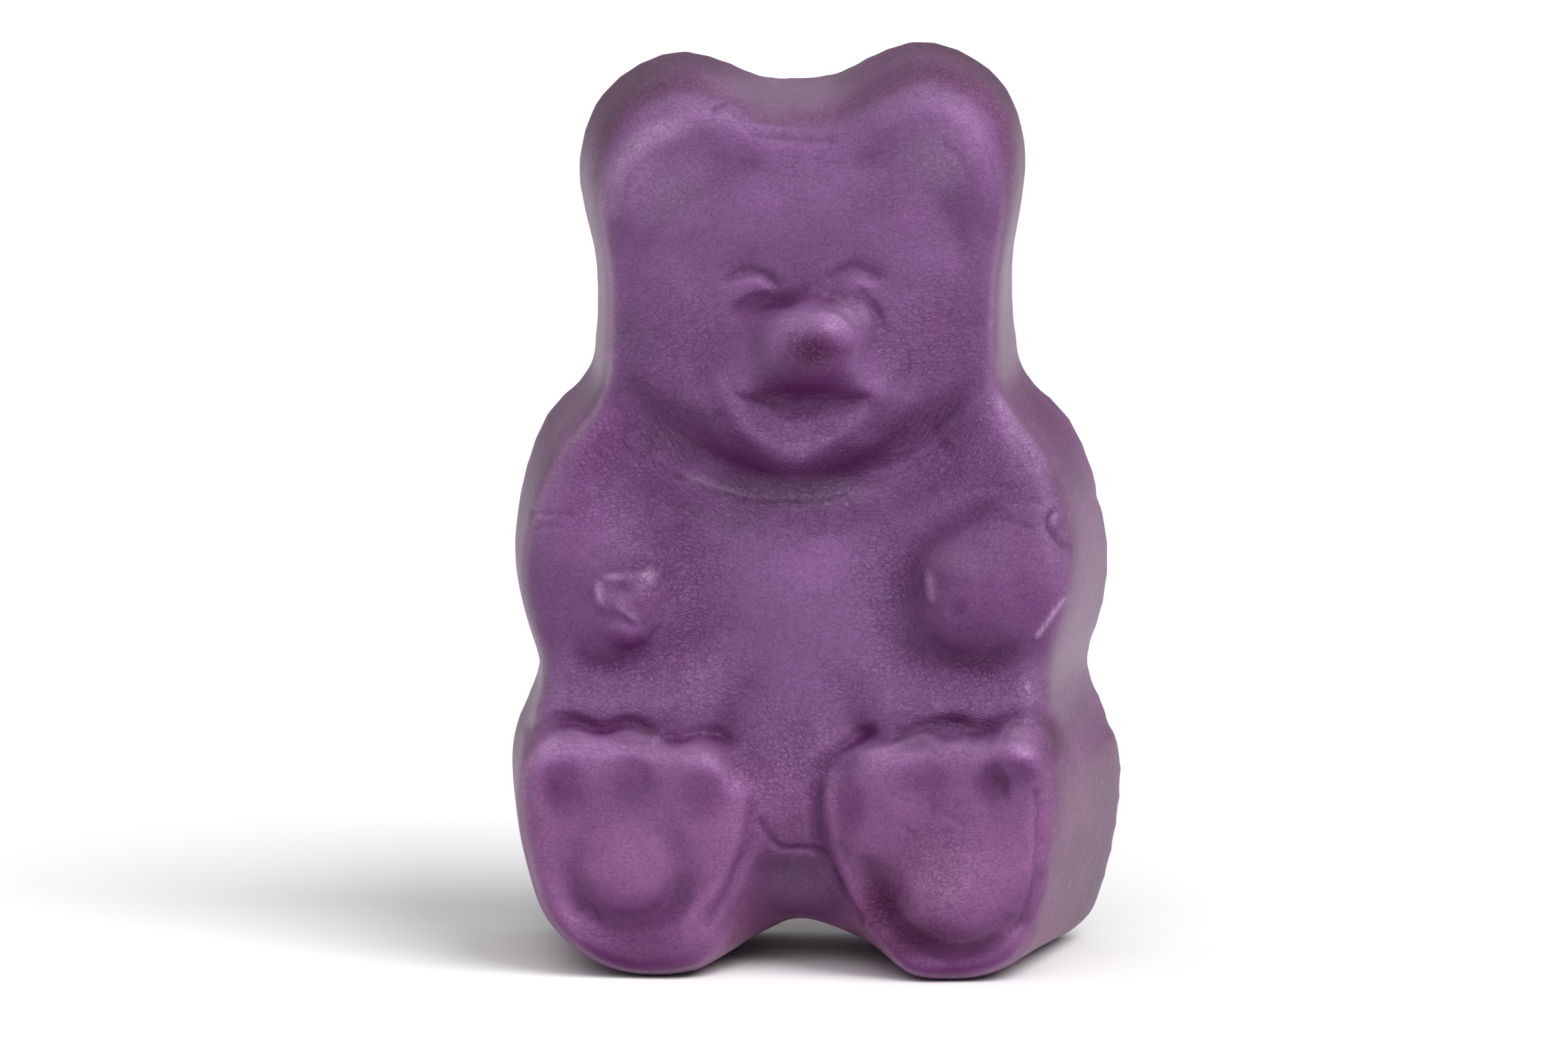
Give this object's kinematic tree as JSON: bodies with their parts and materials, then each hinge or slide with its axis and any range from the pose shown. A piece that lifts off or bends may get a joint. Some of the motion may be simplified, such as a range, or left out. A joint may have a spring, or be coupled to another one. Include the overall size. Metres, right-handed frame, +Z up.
{
  "type": "gummy bear",
  "caption": "A purple jelly bear sweet with a moulded front and a flat back, standing on its feet.",
  "frame": {"origin": "Middle of the base of the bear's box: Z = 0 is the plane that the feet stand on.", "axes": "+Z up from the feet to the ears, -Y towards the face, +X towards the bear's own left."},
  "size_m": [0.015, 0.0084, 0.0219],
  "materials": {
    "bear": "satin translucent jelly, lightly crackled"
  },
  "bodies": {
    "root": {"bear": "bear"}
  },
  "joints": []
}
